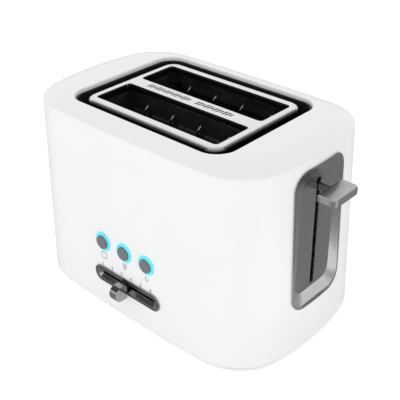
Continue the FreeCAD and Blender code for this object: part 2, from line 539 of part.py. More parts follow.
def make_heater(y):
    """A mica sheet with two ears at each end, and the ribbon turns wound round it."""
    back = y + HEATER_T
    x0, x1 = CHAMBER_X - HEATER_HALF_X, CHAMBER_X + HEATER_HALF_X
    sheet = box(x0, x1, y, back, HEATER_Z0, HEATER_Z1)
    ears = [box(CHAMBER_X - CHAMBER_HALF_X, CHAMBER_X + CHAMBER_HALF_X, y, back, z, z + HEATER_EAR)
            for z in (HEATER_Z0, HEATER_Z1 - HEATER_EAR)]
    pitch = (HEATER_Z1 - HEATER_Z0 - 4 * HEATER_EAR) / (RIBBON_TURNS - 1)
    turns = []
    for i in range(RIBBON_TURNS):
        z = HEATER_Z0 + 2 * HEATER_EAR + i * pitch
        turn = box(x0 - RIBBON_T, x1 + RIBBON_T, y - RIBBON_T, back + RIBBON_T,
                   z - RIBBON_HALF_Z, z + RIBBON_HALF_Z)
        turns.append(turn.cut(box(x0, x1, y, back, z - 1, z + 1)))
    return join(sheet, *ears), turns


def make_guard(name):
    """A wire grid: a hinge wire, cross wires and uprights whose tops flare away from the bread."""
    hinge_y = GUARD_HINGES[name]
    out = 1 if name in ("front_inner", "rear_outer") else -1
    lean_y = hinge_y - out * (OUTER_GUARD_LEAN if "outer" in name else INNER_GUARD_LEAN)
    x0 = CHAMBER_X - CHAMBER_HALF_X - GUARD_HINGE_OVER
    x1 = CHAMBER_X + CHAMBER_HALF_X + GUARD_HINGE_OVER
    r = GUARD_WIRE_R
    wires = [rod((x0, hinge_y, GUARD_HINGE_Z), (x1, hinge_y, GUARD_HINGE_Z), r)]
    flare_z = GUARD_TOP_Z - GUARD_FLARE_H
    tip_y = lean_y + out * GUARD_FLARE_Y
    for x in WIRE_X:
        x += CHAMBER_X
        wires.append(rod((x, hinge_y, GUARD_HINGE_Z), (x, lean_y, flare_z), r))
        wires.append(rod((x, lean_y, flare_z), (x, tip_y, GUARD_TOP_Z), r))
        wires.append(Part.makeSphere(r, Vector(x, lean_y, flare_z)))
        wires.append(Part.makeSphere(r, Vector(x, tip_y, GUARD_TOP_Z)))
    for share in GUARD_CROSS_AT:
        z = GUARD_HINGE_Z + share * (flare_z - GUARD_HINGE_Z)
        y = hinge_y + share * (lean_y - hinge_y)
        wires.append(rod((CHAMBER_X - GUARD_CROSS_HALF_X, y, z), (CHAMBER_X + GUARD_CROSS_HALF_X, y, z), r))
    return join(*wires)


def make_bread_rack(y):
    """The strip that a slice stands on, with upturned teeth and a tongue at each end."""
    low = RACK_Z - RACK_T
    strip = box(CHAMBER_X - RACK_HALF_X, CHAMBER_X + RACK_HALF_X, y - RACK_HALF_Y, y + RACK_HALF_Y,
                low, RACK_Z)
    tongue = box(CHAMBER_X - RACK_TONGUE_END, CARRIAGE_X, y - RACK_TONGUE_HALF_Y, y + RACK_TONGUE_HALF_Y,
                 low, RACK_Z)
    teeth = []
    for i in range(RACK_TEETH):
        x = CHAMBER_X + RACK_TOOTH_PITCH * (i - RACK_TEETH // 2)
        for edge in (y - RACK_HALF_Y, y + RACK_HALF_Y - 1):
            teeth.append(box(x - 3, x + 3, edge, edge + 1, RACK_Z - 0.5, RACK_Z + RACK_TOOTH_H))
    return join(strip, tongue, *teeth)


# ---------------------------------------------------------------- lever and carriage
def make_carriage():
    """Sheet steel: a column on the guide rod, a crossbar for the racks, and a spring ear."""
    x0, t = CARRIAGE_X, CARRIAGE_T
    low = RACK_Z - CARRIAGE_LOW
    ear_x = ROD_X + CARRIAGE_EAR_OUT
    near, far = -8.5, -ROD_Y - 6
    column = box(x0, x0 + t, -9, 9, low, 153)
    crossbar = box(x0, x0 + t, -34, 34, low, RACK_Z + 4)
    ear_z = RACK_Z - 4
    ears = [box(x0, ear_x, far, near, z, z + t) for z in (ear_z, ear_z + CARRIAGE_EAR_APART)]
    flag = box(x0, x0 + t, far, near, low, ear_z + CARRIAGE_EAR_APART + t)
    spring_ear = box(x0, ear_x, -near, -far, RACK_Z - 6, RACK_Z - 6 + t)
    shelf_z = FLOOR_Z + FLOOR_T + CORE_TOP + LEVER_TRAVEL + ARMATURE_GAP + ARMATURE_T + 0.1
    shelf = box(x0, x0 + 8, -7, 7, shelf_z, shelf_z + t)
    bore = rod((ROD_X, -ROD_Y, low - 10), (ROD_X, -ROD_Y, SPRING_TOP_Z), ROD_R + ROD_CLEARANCE)
    hook = rod((ROD_X, ROD_Y, low - 10), (ROD_X, ROD_Y, RACK_Z + 12), HOOK_HOLE_R)
    return join(column, crossbar, *ears, flag, spring_ear, shelf).cut([bore, hook])


def make_lever_arm():
    """A steel blade from the carriage out through the bezel's slot, into the knob."""
    x0 = CARRIAGE_X + CARRIAGE_T
    z = KNOB_TOP - KNOB_T / 2
    blade = box(x0, KNOB_X0 + BLADE_IN, -BLADE_HALF_T, BLADE_HALF_T, z - BLADE_HALF_Z, z + BLADE_HALF_Z)
    pad = box(x0, x0 + 1.2, -6, 6, z - 4, z + 4)
    return join(blade, pad)


def make_lever_knob():
    """A flat paddle with rounded corners and a neck that reaches into the slot."""
    mid_x = (KNOB_X0 + KNOB_X1) / 2
    base = KNOB_TOP - KNOB_T
    z = KNOB_TOP - KNOB_T / 2
    paddle = box(KNOB_X0, KNOB_X1, -KNOB_HALF_Y, KNOB_HALF_Y, base, KNOB_TOP)
    corners = [e for e in paddle.Edges if e.BoundBox.ZLength > 1 and e.BoundBox.XMin > mid_x]
    paddle = paddle.makeFillet(KNOB_R, corners)
    rims = [e for e in paddle.Edges if abs(e.BoundBox.ZLength) < 1e-6]
    paddle = paddle.makeFillet(KNOB_EDGE_R, rims)
    neck = box(DISH_FLOOR_X - DISH_FLOOR_T, KNOB_X0 + 4, -NECK_HALF_Y, NECK_HALF_Y,
               base + 0.3, KNOB_TOP - 0.3)
    half_t, half_z = BLADE_HALF_T + BLADE_FIT, BLADE_HALF_Z + BLADE_FIT
    socket = box(DISH_FLOOR_X - 2, KNOB_X0 + BLADE_IN + 0.1, -half_t, half_t, z - half_z, z + half_z)
    return join(paddle, neck).cut(socket)


def make_rod_bracket():
    """An angle bracket on the chamber's end, for the top of the rod and of the spring."""
    x0 = CHAMBER_X + CHAMBER_HALF_X + END_T
    low, high = SPRING_TOP_Z - 2, SPRING_TOP_Z - 2 + BRACKET_T
    plate = box(x0, ROD_X + 9, -BRACKET_HALF_Y, BRACKET_HALF_Y, low, high)
    flange = box(x0, x0 + BRACKET_T, -BRACKET_HALF_Y, BRACKET_HALF_Y, low - 10, high)
    holes = [rod((ROD_X, -ROD_Y, low - 6), (ROD_X, -ROD_Y, low + 9), ROD_R)]
    holes.append(rod((ROD_X, ROD_Y, low - 6), (ROD_X, ROD_Y, low + 9), HOOK_HOLE_R))
    return join(plate, flange).cut(holes)


def make_return_spring():
    """An extension spring between the carriage's ear and the rod bracket."""
    low, high = RACK_Z - 4.6, SPRING_TOP_Z - 2.2
    height = high - low - 2 * SPRING_HOOK
    helix = Part.makeHelix(height / SPRING_TURNS, height, SPRING_COIL_R)
    section = Part.Wire(Part.makeCircle(SPRING_WIRE_R, Vector(SPRING_COIL_R, 0, 0), Vector(0, 1, 0)))
    coil = Part.Wire(helix).makePipeShell([section], True, True)
    coil.translate(Vector(ROD_X, ROD_Y, low + SPRING_HOOK))
    x = ROD_X + SPRING_COIL_R
    hooks = [rod((x, ROD_Y, z), (x, ROD_Y, z + SPRING_HOOK + 0.3), SPRING_WIRE_R)
             for z in (low, high - SPRING_HOOK - 0.3)]
    return join(coil, *hooks)


def make_lever_bezel():
    """A dished surround: a proud lip on the wall, sloped sides and a flat floor with the lever slot."""
    full = end_slab(DISH_HALF_Y, DISH_Z0, DISH_Z1, DISH_R, 120, 140)
    plug = end_slab(DISH_HALF_Y - DISH_PLUG, DISH_Z0 + DISH_PLUG, DISH_Z1 - DISH_PLUG, DISH_R - DISH_PLUG,
                    DISH_FLOOR_X - DISH_FLOOR_T, 140)
    wall, proud = wall_block(TRIM_GAP), wall_block(DISH_PROUD)
    lip = proud.common(full).cut(wall)
    block = join(proud.common(plug), lip)
    draft = (BASE_HALF_X - RIM_HALF_X) / (RIM_Z - FOOT_H)
    mid_z = (DISH_Z0 + DISH_Z1) / 2
    mouth = end_outline(DISH_HALF_Y - DISH_LIP, DISH_Z0 + DISH_LIP, DISH_Z1 - DISH_LIP, DISH_R - DISH_LIP)
    mouth.rotate(Vector(0, 0, mid_z), Vector(0, 1, 0), -math.degrees(math.atan(draft)))
    mouth.translate(Vector(wall_section(mid_z)[0] - 0.8, 0, 0))
    floor = end_outline(DISH_FLOOR_HALF_Y, DISH_FLOOR_Z0, DISH_FLOOR_Z1, DISH_FLOOR_R)
    floor.translate(Vector(DISH_FLOOR_X, 0, 0))
    pocket = Part.makeLoft([floor, mouth], True, True)
    outward = Part.Face(mouth).extrude(Vector(8, 0, 0))
    slot = end_slab(LEVER_SLOT_HALF_Y, LEVER_SLOT_Z0, LEVER_SLOT_Z1, LEVER_SLOT_R, *END_CUT)
    relief = rod((END_CUT[0], 0, LEVER_SLOT_Z1), (END_CUT[1], 0, LEVER_SLOT_Z1), LEVER_SLOT_RELIEF_R)
    return block.cut([pocket, outward, slot, relief])


# ---------------------------------------------------------------- front controls
def make_light_ring(x):
    ring = through_y(x, BUTTON_Z, RING_OUT_R, (-RING_FRONT, -RING_BACK))
    edge = [e for e in ring.Edges if abs(e.BoundBox.YMax + RING_FRONT) < 1e-3]
    ring = ring.makeFillet(0.8, edge)
    return ring.cut(through_y(x, BUTTON_Z, RING_IN_R, FRONT_CUT))


def make_button(x):
    """A round cap with a keeper flange behind the ring and a stem to its switch."""
    cap = through_y(x, BUTTON_Z, CAP_R, (-CAP_FRONT, -CAP_BACK))
    edge = [e for e in cap.Edges if abs(e.BoundBox.YMax + CAP_FRONT) < 1e-3]
    cap = cap.makeFillet(0.9, edge)
    flange = through_y(x, BUTTON_Z, CAP_R + KEEPER_OVER, (-CAP_BACK, -KEEPER_BACK))
    stem = through_y(x, BUTTON_Z, STEM_R, (-KEEPER_BACK - 0.1, -STEM_BACK))
    return join(cap, flange, stem)


def make_switch(x):
    half = SWITCH_HALF
    body = box(x - half, x + half, -SWITCH_FRONT, -BOARD_FRONT, BUTTON_Z - half, BUTTON_Z + half)
    return join(body, through_y(x, BUTTON_Z, PLUNGER_R, (-PLUNGER_FRONT, 0.1 - SWITCH_FRONT)))


def slider_outline(inset, y):
    """The slider bezel's stadium outline, moved inward."""
    half_x, half_z = SLIDER_HALF_X - inset, SLIDER_HALF_Z - inset
    wire = rounded_rect(half_x, half_z, half_z - ROUND_END)
    wire.rotate(Vector(0, 0, 0), Vector(1, 0, 0), 90)
    wire.translate(Vector(0, y, SLIDER_Z))
    return wire


def make_slider_bezel():
    """A stadium plate with a ring groove, and a valley whose sides slope down to the knob's slot."""
    def layer(inset, y0, y1):
        return Part.Face(slider_outline(inset, y0)).extrude(Vector(0, y1 - y0, 0))
    body = layer(0, -SLIDER_FRONT, -SLIDER_BACK)
    keeper = layer(-SLIDER_KEEPER, -SLIDER_KEEPER_FRONT, -SLIDER_BACK)
    groove = layer(GROOVE_OUTER, FRONT_CUT[0], GROOVE_DEPTH - SLIDER_FRONT)
    groove = groove.cut(layer(GROOVE_INNER, FRONT_CUT[0] - 1, -SLIDER_BACK))
    valley_inset = SLIDER_HALF_Z - SLIDER_SLOT_HALF_Z - 0.6
    valley = Part.makeLoft([slider_outline(SLIDER_RIM, -SLIDER_FRONT - 0.01),
                            slider_outline(valley_inset, SLIDER_VALLEY - SLIDER_FRONT)], True, True)
    slot = front_slab(SLIDER_SLOT_HALF_X, SLIDER_SLOT_HALF_Z, SLIDER_SLOT_HALF_Z - ROUND_END,
                      *FRONT_CUT, 0, SLIDER_Z)
    return join(body, keeper).cut([groove, valley, slot])


def make_slider_knob():
    """A neck along the slot and a rounded grip in front of the bezel."""
    x0, x1 = SLIDER_REST_X - SLIDER_GRIP_HALF_X, SLIDER_REST_X + SLIDER_GRIP_HALF_X
    grip = box(x0, x1, -SLIDER_KNOB_TIP, -SLIDER_GRIP_BACK, SLIDER_GRIP_Z0, SLIDER_GRIP_Z1)
    front = [e for e in grip.Edges if e.BoundBox.YMax < 0.5 - SLIDER_KNOB_TIP and e.BoundBox.XLength > 7]
    grip = grip.makeFillet(SLIDER_GRIP_R, front)
    neck = box(x0 + 0.3, x1 - 0.3, -95.5, -SLIDER_FRONT - 0.4, SLIDER_Z - 3.4, SLIDER_Z + 4.4)
    recess = box(x0 - 1, x1 + 1, -96.2, -95.3, SLIDER_Z + 3.4, SLIDER_Z + 6.4)
    half_x, half_z = WIPER_HALF_X + WIPER_FIT, WIPER_HALF_Z + WIPER_FIT
    socket = box(SLIDER_REST_X - half_x, SLIDER_REST_X + half_x, -WIPER_FRONT - 0.2, -SLIDER_FRONT,
                 SLIDER_Z - half_z, SLIDER_Z + half_z)
    return join(grip, neck).cut([recess, socket])


def make_slider_wiper():
    """A strip from the knob back through the slot, into the potentiometer's track."""
    return box(SLIDER_REST_X - WIPER_HALF_X, SLIDER_REST_X + WIPER_HALF_X, -WIPER_FRONT, -WIPER_BACK,
               SLIDER_Z - WIPER_HALF_Z, SLIDER_Z + WIPER_HALF_Z)


def make_slide_pot():
    body = box(-POT_HALF_X, POT_HALF_X, -POT_FRONT, -BOARD_FRONT, POT_Z0, POT_Z1)
    track = box(-TRACK_HALF_X, TRACK_HALF_X, -POT_FRONT - 1, -TRACK_BACK,
                SLIDER_Z - TRACK_HALF_Z, SLIDER_Z + TRACK_HALF_Z)
    return body.cut(track)


def make_board_bracket():
    """A frame behind the front wall, with four posts to the board."""
    half = BOARD_HALF_X
    frame = box(-half, half, -FRAME_FRONT, -FRAME_BACK, BOARD_Z0, BOARD_Z1)
    frame = frame.cut(box(FRAME_SIDE - half, half - FRAME_SIDE, -FRAME_FRONT - 1, -FRAME_BACK + 1,
                          BOARD_Z0 + FRAME_LOWER, BOARD_Z1 - FRAME_UPPER))
    posts = [box(x - 2, x + 2, -FRAME_BACK - 0.2, -BOARD_FRONT, z - 2, z + 2)
             for x in (2 - half, half - 2) for z in (BOARD_Z0 + 2, BOARD_Z1 - 2)]
    return join(frame, *posts)


# ---------------------------------------------------------------- mains, magnet and tray
def make_magnet():
    """The holding magnet's core, its winding, and the armature that rides on the carriage."""
    x, z0 = CARRIAGE_X + MAGNET_X, FLOOR_Z + FLOOR_T
    half = MAGNET_HALF
    base = box(x - half, x + half, -half, half, z0, z0 + MAGNET_FOOT)
    core = join(base, rod((x, 0, z0 + MAGNET_FOOT), (x, 0, z0 + CORE_TOP), CORE_R))
    coil = rod((x, 0, z0 + COIL_Z0), (x, 0, z0 + COIL_Z1), COIL_R)
    coil = coil.cut(rod((x, 0, z0), (x, 0, z0 + 2 * CORE_TOP), CORE_R + 0.1))
    low = z0 + CORE_TOP + ARMATURE_GAP + LEVER_TRAVEL
    armature = box(CARRIAGE_X + CARRIAGE_T, x + half, 0.5 - half, half - 0.5, low, low + ARMATURE_T)
    return core, coil, armature


def make_gland():
    """A rubber cord gland in the rear wall: flange outside, keeper ring inside."""
    body = through_y(GLAND_X, GLAND_Z, GLAND_R, (GLAND_FRONT, GLAND_BACK))
    flange = through_y(GLAND_X, GLAND_Z, GLAND_FLANGE_R, (83, GLAND_BACK))
    rim = [e for e in flange.Edges if abs(e.BoundBox.YMin - GLAND_BACK) < 1e-3]
    flange = flange.makeFillet(1.2, rim).cut(wall_block(TRIM_GAP))
    keeper = through_y(GLAND_X, GLAND_Z, GLAND_KEEPER_R, (79.2, 81.2))
    bore = through_y(GLAND_X, GLAND_Z, GLAND_BORE_R, (GLAND_FRONT - 4, REAR_CUT[1]))
    return join(body, flange, keeper).cut(bore)


def make_crumb_tray():
    """A shallow pan that slides out at the back, with a closing lip and a finger pull."""
    t = TRAY_T
    pan = box(-TRAY_HALF_X, TRAY_HALF_X, TRAY_FRONT, TRAY_REAR, TRAY_Z0, TRAY_Z1)
    pan = pan.cut(box(t - TRAY_HALF_X, TRAY_HALF_X - t, TRAY_FRONT + t, TRAY_REAR - t,
                      TRAY_Z0 + t, TRAY_Z1 + 1))
    lip_half = TRAY_HALF_X + TRAY_LIP_SIDE
    lip_y = TRAY_REAR + TRAY_LIP_T
    lip = box(-lip_half, lip_half, TRAY_REAR - 0.3, lip_y, TRAY_LIP_Z0, TRAY_LIP_Z1)
    pull = box(-TRAY_PULL_HALF_X, TRAY_PULL_HALF_X, lip_y - 0.6, lip_y + TRAY_PULL_OUT,
               TRAY_PULL_Z0, TRAY_PULL_Z1)
    edges = [e for e in pull.Edges if e.BoundBox.YMin > lip_y + TRAY_PULL_OUT - 0.1]
    pull = pull.makeFillet(1.1, edges)
    return join(pan, lip, pull)


def make_terminal_block():
    """Where the mains leads end: a block with three screw wells."""
    block = box(GLAND_X - 9, GLAND_X + 11, 62, 73.5, FOOT_H + COVER_T, 19)
    wells = [rod((x, 67.7, 12), (x, 67.7, 20), 1.9) for x in (GLAND_X - 5, GLAND_X + 1, GLAND_X + 7)]
    return block.cut(wells)


def make_contact_block():
    """The switch block that the carriage closes at the bottom of its travel."""
    return box(CARRIAGE_X + 7, CARRIAGE_X + 19, 26, 38, FLOOR_Z + FLOOR_T, FLOOR_Z + CORE_TOP)


# ---------------------------------------------------------------- write every node
save("housing_shell", make_housing())
save("base_cover", make_base_cover())
for end, x in (("left", -FOOT_X), ("right", FOOT_X)):
    for face, y in (("front", -FOOT_Y), ("rear", FOOT_Y)):
        save(f"foot_{face}_{end}", make_foot(x, y))
save("base_screws", *[screw(x, y, SCREW_HEAD_Z, SCREW_TIP_Z, SCREW_HEAD_R, SCREW_R)
                      for x, y in four_ways(BASE_SCREW_X, BASE_SCREW_Y)])
save("chassis_screws", *[screw(x, y, SMALL_SCREW_HEAD_Z, SMALL_SCREW_TIP_Z, SMALL_SCREW_HEAD_R,
                               SMALL_SCREW_R) for x, y in posts_at()])
save("trough_ring", make_trough())
save("top_plate", make_top_plate())
save("lever_bezel", make_lever_bezel())

save("chassis_floor", make_chassis_floor())
save("chamber_end_right", make_chamber_end(1))
save("chamber_end_left", make_chamber_end(-1))
save("reflector_rear", make_reflector())
save("reflector_front", mirror_y(make_reflector()))
save("centre_divider", make_centre_divider())
HEATER_Y = {
    "front_outer": -OUTER_HEATER_Y - HEATER_T,
    "front_inner": -INNER_HEATER_Y - HEATER_T,
    "rear_inner": INNER_HEATER_Y,
    "rear_outer": OUTER_HEATER_Y,
}
for place, y in HEATER_Y.items():
    sheet, turns = make_heater(y)
    save(f"heater_sheet_{place}", sheet)
    save(f"heater_ribbon_{place}", *turns)
    save(f"bread_guard_{place}", make_guard(place))
save("bread_rack_front", make_bread_rack(-SLOT_Y))
save("bread_rack_rear", make_bread_rack(SLOT_Y))

save("carriage", make_carriage())
save("lever_arm", make_lever_arm())
save("lever_knob", make_lever_knob())
save("guide_rod", rod((ROD_X, -ROD_Y, FLOOR_Z - 1), (ROD_X, -ROD_Y, SPRING_TOP_Z + 1), ROD_R))
save("rod_bracket", make_rod_bracket())
save("return_spring", make_return_spring())
magnet_core, magnet_coil, armature = make_magnet()
save("magnet_core", magnet_core)
save("magnet_coil", magnet_coil)
save("armature", armature)

for place, x in zip(BUTTON_NAMES, BUTTON_X):
    save(f"light_ring_{place}", make_light_ring(x))
    save(f"button_{place}", make_button(x))
    save(f"switch_{place}", make_switch(x))
save("indicator_lamps", *[through_y(x, LAMP_Z, LAMP_R, (-LAMP_FRONT, -BOARD_FRONT)) for x in BUTTON_X])
save("slider_bezel", make_slider_bezel())
save("slider_knob", make_slider_knob())
save("slider_wiper", make_slider_wiper())
save("slide_potentiometer", make_slide_pot())
save("control_board", box(-BOARD_HALF_X, BOARD_HALF_X, -BOARD_FRONT, BOARD_T - BOARD_FRONT,
                          BOARD_Z0, BOARD_Z1))
save("board_bracket", make_board_bracket())

save("cord_gland", make_gland())
save("terminal_block", make_terminal_block())
save("contact_block", make_contact_block())
save("crumb_tray", make_crumb_tray())
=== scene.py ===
"""Looks for the two-slot toaster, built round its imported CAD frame.

Metres, in the frame's own axes: +X is the lever end, -Y the front with the controls, z = 0 the table.
"""

import json
import math

import bmesh
import bpy
from mathutils import Matrix, Vector
from mathutils.bvhtree import BVHTree


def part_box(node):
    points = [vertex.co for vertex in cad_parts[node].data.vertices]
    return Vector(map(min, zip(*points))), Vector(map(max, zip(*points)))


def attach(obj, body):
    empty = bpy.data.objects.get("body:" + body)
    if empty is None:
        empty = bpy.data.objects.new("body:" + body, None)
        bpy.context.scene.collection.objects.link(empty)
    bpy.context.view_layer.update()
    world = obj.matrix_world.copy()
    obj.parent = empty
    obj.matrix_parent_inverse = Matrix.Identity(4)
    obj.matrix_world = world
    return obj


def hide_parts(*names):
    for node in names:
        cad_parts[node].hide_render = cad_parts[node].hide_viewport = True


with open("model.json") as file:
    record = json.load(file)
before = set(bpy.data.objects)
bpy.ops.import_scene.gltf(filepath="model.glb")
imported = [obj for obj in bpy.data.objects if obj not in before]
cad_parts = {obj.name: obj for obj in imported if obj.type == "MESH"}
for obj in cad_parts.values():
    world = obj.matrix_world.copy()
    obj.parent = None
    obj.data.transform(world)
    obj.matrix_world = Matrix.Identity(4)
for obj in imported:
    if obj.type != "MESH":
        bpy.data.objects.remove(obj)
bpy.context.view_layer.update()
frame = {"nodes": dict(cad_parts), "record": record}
NODES = frame["nodes"]
MM = 0.001
SCENE = bpy.context.scene
SCENE.view_settings.view_transform = "Standard"

# Camera
CAMERA_AT = Vector((396.25, -424.85, 440.5)) * MM
CAMERA_TARGET = Vector((-22.8, 26.9, 65.9)) * MM
CAMERA_ROLL = math.radians(-0.76)
CAMERA_LENS = 70.0
SENSOR_WIDTH = 36.0


def middle(node):
    """The middle of a CAD node's box."""
    low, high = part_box(node)
    return (low + high) / 2


def make_camera():
    data = bpy.data.cameras.new("camera")
    data.lens = CAMERA_LENS
    data.sensor_width = SENSOR_WIDTH
    data.clip_start = 0.02
    camera = bpy.data.objects.new("camera", data)
    SCENE.collection.objects.link(camera)
    turn = (CAMERA_TARGET - CAMERA_AT).to_track_quat("-Z", "Y").to_matrix().to_4x4()
    camera.matrix_world = Matrix.Translation(CAMERA_AT) @ turn @ Matrix.Rotation(CAMERA_ROLL, 4, "Z")
    SCENE.camera = camera


# ---------------------------------------------------------------- materials
# painted reflection and painted shade: how far below the plate's top, and how dark, the steel is painted
PLATE_SHADE_DEPTH = 4.6 * MM
PLATE_SHADES = ((0.0, 0.10), (0.3, 0.06), (0.6, 0.18), (0.8, 0.5), (0.93, 0.9), (1.0, 1.0))
WIRE_TIP = 1.8 * MM


class Finish:
    """A Principled shader that gets its colour, roughness and bump from patterns in object space."""

    def __init__(self, name, **sockets):
        self.material = bpy.data.materials.new(name)
        self.material.use_nodes = True
        self.tree = self.material.node_tree
        self.shader = self.tree.nodes["Principled BSDF"]
        for socket, value in sockets.items():
            self.shader.inputs[socket.replace("_", " ")].default_value = value
        self.normal = None

    def node(self, kind, **settings):
        made = self.tree.nodes.new(kind)
        for key, value in settings.items():
            setattr(made, key, value)
        return made

    def link(self, source, target):
        self.tree.links.new(source, target)

    def coordinates(self, stretch=(1, 1, 1)):
        place = self.node("ShaderNodeTexCoord")
        mapping = self.node("ShaderNodeMapping")
        mapping.inputs["Scale"].default_value = stretch
        self.link(place.outputs["Object"], mapping.inputs["Vector"])
        return mapping.outputs["Vector"]

    def noise(self, per_metre, detail=3.0, stretch=(1, 1, 1)):
        texture = self.node("ShaderNodeTexNoise")
        texture.inputs["Scale"].default_value = per_metre
        texture.inputs["Detail"].default_value = detail
        self.link(self.coordinates(stretch), texture.inputs["Vector"])
        return texture.outputs["Fac"]

    def cells(self, per_metre):
        texture = self.node("ShaderNodeTexVoronoi")
        texture.inputs["Scale"].default_value = per_metre
        self.link(self.coordinates(), texture.inputs["Vector"])
        return texture.outputs["Distance"]

    def facing(self, axis):
        """How far the surface faces along one of the object's own axes, X, Y or Z."""
        split = self.node("ShaderNodeSeparateXYZ")
        self.link(self.node("ShaderNodeTexCoord").outputs["Normal"], split.inputs["Vector"])
        return split.outputs[axis]

    def height_share(self, low_z, high_z):
        """0 below one height and 1 above another."""
        split = self.node("ShaderNodeSeparateXYZ")
        self.link(self.coordinates(), split.inputs["Vector"])
        share = self.node("ShaderNodeMapRange")
        share.inputs["From Min"].default_value = low_z
        share.inputs["From Max"].default_value = high_z
        self.link(split.outputs["Z"], share.inputs["Value"])
        return share.outputs["Result"]

    def colours(self, pattern, stops):
        """Colour from a pattern, through (position, (r, g, b)) stops."""
        ramp = self.node("ShaderNodeValToRGB")
        elements = ramp.color_ramp.elements
        while len(elements) < len(stops):
            elements.new(0.5)
        for element, (position, colour) in zip(elements, stops):
            element.position = position
            element.color = (*colour, 1.0)
        self.link(pattern, ramp.inputs["Fac"])
        self.link(ramp.outputs["Color"], self.shader.inputs["Base Color"])

    def roughness(self, pattern, low, high):
        spread = self.node("ShaderNodeMapRange")
        spread.inputs["From Min"].default_value = 0.3
        spread.inputs["From Max"].default_value = 0.7
        spread.inputs["To Min"].default_value = low
        spread.inputs["To Max"].default_value = high
        self.link(pattern, spread.inputs["Value"])
        self.link(spread.outputs["Result"], self.shader.inputs["Roughness"])

    def bump(self, pattern, height, strength=1.0):
        """Relief of a height in metres. Calls add up."""
        bump = self.node("ShaderNodeBump")
        bump.inputs["Strength"].default_value = strength
        bump.inputs["Distance"].default_value = height
        self.link(pattern, bump.inputs["Height"])
        if self.normal is not None:
            self.link(self.normal, bump.inputs["Normal"])
        self.normal = bump.outputs["Normal"]
        self.link(self.normal, self.shader.inputs["Normal"])


def tint(colour, factor):
    return tuple(min(channel * factor, 1.0) for channel in colour)


def plastic(name, colour, rough, grain=0.04 * MM, spread=0.03, grain_size=0.6 * MM, **sockets):
    """Moulded plastic: a fine spark-eroded grain, and the least unevenness of colour and gloss."""
    finish = Finish(name, **sockets)
    cloud = finish.noise(18.0)
    finish.colours(cloud, [(0.3, tint(colour, 1 - spread)), (0.7, tint(colour, 1 + spread))])
    finish.roughness(finish.noise(60.0), rough - 0.04, rough + 0.04)
    finish.bump(finish.noise(1 / grain_size, detail=2.0), grain, 0.35)
    return finish.material


def brushed(name, colour, rough, stretch, spread=0.08):
    """Brushed metal: long fine scratches one way, over slow changes of shade."""
    finish = Finish(name, Metallic=1.0)
    scratches = finish.noise(2600.0, detail=4.0, stretch=stretch)
    finish.colours(scratches, [(0.25, tint(colour, 1 - spread)), (0.75, tint(colour, 1 + spread))])
    finish.roughness(finish.noise(900.0, stretch=stretch), rough - 0.06, rough + 0.08)
    finish.bump(scratches, 0.02 * MM, 0.25)
    return finish.material


def plated(name, colour, rough):
    """Plated or bare metal: faint mottling and fine handling marks."""
    finish = Finish(name, Metallic=1.0)
    mottling = finish.noise(220.0, detail=5.0)
    finish.colours(mottling, [(0.3, tint(colour, 0.9)), (0.7, tint(colour, 1.08))])
    finish.roughness(finish.noise(400.0, detail=4.0), rough - 0.06, rough + 0.08)
    finish.bump(finish.noise(1500.0), 0.01 * MM, 0.3)
    return finish.material


def metallic_paint(name, colour, rough):
    """Satin metallic paint under a clear coat. Faces turned away from +X are painted lighter: this stands for
    the light that the dish's slopes catch."""
    finish = Finish(name, Metallic=0.9, Coat_Weight=0.2, Coat_Roughness=0.12)
    finish.colours(finish.facing("X"), [(0.9, tint(colour, 2.1)), (0.975, colour)])
    finish.roughness(finish.noise(300.0), rough - 0.03, rough + 0.04)
    finish.bump(finish.noise(2200.0), 0.005 * MM, 0.15)
    return finish.material


def heat_stained(name, colour, stain, rough):
    """Sheet steel that has been hot: straw and brown patches, and a soft grain."""
    finish = Finish(name, Metallic=0.85)
    patches = finish.noise(26.0, detail=6.0)
    finish.colours(patches, [(0.35, colour), (0.55, tint(colour, 0.8)), (0.72, stain)])
    finish.roughness(finish.noise(140.0, detail=4.0), rough - 0.08, rough + 0.12)
    finish.bump(finish.noise(900.0, stretch=(0.05, 1, 1)), 0.02 * MM, 0.3)
    return finish.material


def plate_steel(name, colour, top_z):
    """Brushed stainless, bright on top. A ramp by height paints everything below the top darker, down the
    rolled rim, round the slots' edges and in the dashes: painted reflection of the dark surroundings that a
    rim mirrors, and painted shade down into the slots."""
    finish = Finish(name, Metallic=1.0)
    share = finish.height_share(top_z - PLATE_SHADE_DEPTH, top_z)
    finish.colours(share, [(position, tint(colour, factor)) for position, factor in PLATE_SHADES])
    scratches = finish.noise(2600.0, detail=4.0, stretch=(0.02, 1, 1))
    finish.roughness(scratches, 0.22, 0.36)
    finish.bump(scratches, 0.02 * MM, 0.2)
    return finish.material


def tipped_wire(name, bright_z):
    """Steel wire, painted dark below the height bright_z as shade, and lighter above it as a painted
    highlight where its tips catch light.
    """
    finish = Finish(name, Metallic=1.0)
    share = finish.height_share(bright_z - 1.5 * MM, bright_z)
    finish.colours(share, [(0.0, (0.03, 0.028, 0.027)), (1.0, (0.34, 0.33, 0.32))])
    finish.roughness(finish.noise(700.0), 0.25, 0.4)
    finish.bump(finish.noise(1500.0), 0.01 * MM, 0.3)
    return finish.material


def glowing_ring(name):
    """A cyan light guide: brighter where the light pools, a milky skin over it."""
    finish = Finish(name, Emission_Color=(0.10, 0.80, 0.95, 1.0), Emission_Strength=0.5, Coat_Weight=0.3)
    pools = finish.noise(500.0, detail=4.0)
    finish.colours(pools, [(0.3, (0.06, 0.42, 0.48)), (0.7, (0.12, 0.52, 0.58))])
    finish.roughness(finish.noise(800.0), 0.25, 0.38)
    finish.bump(finish.noise(2600.0), 0.02 * MM, 0.3)
    return finish.material


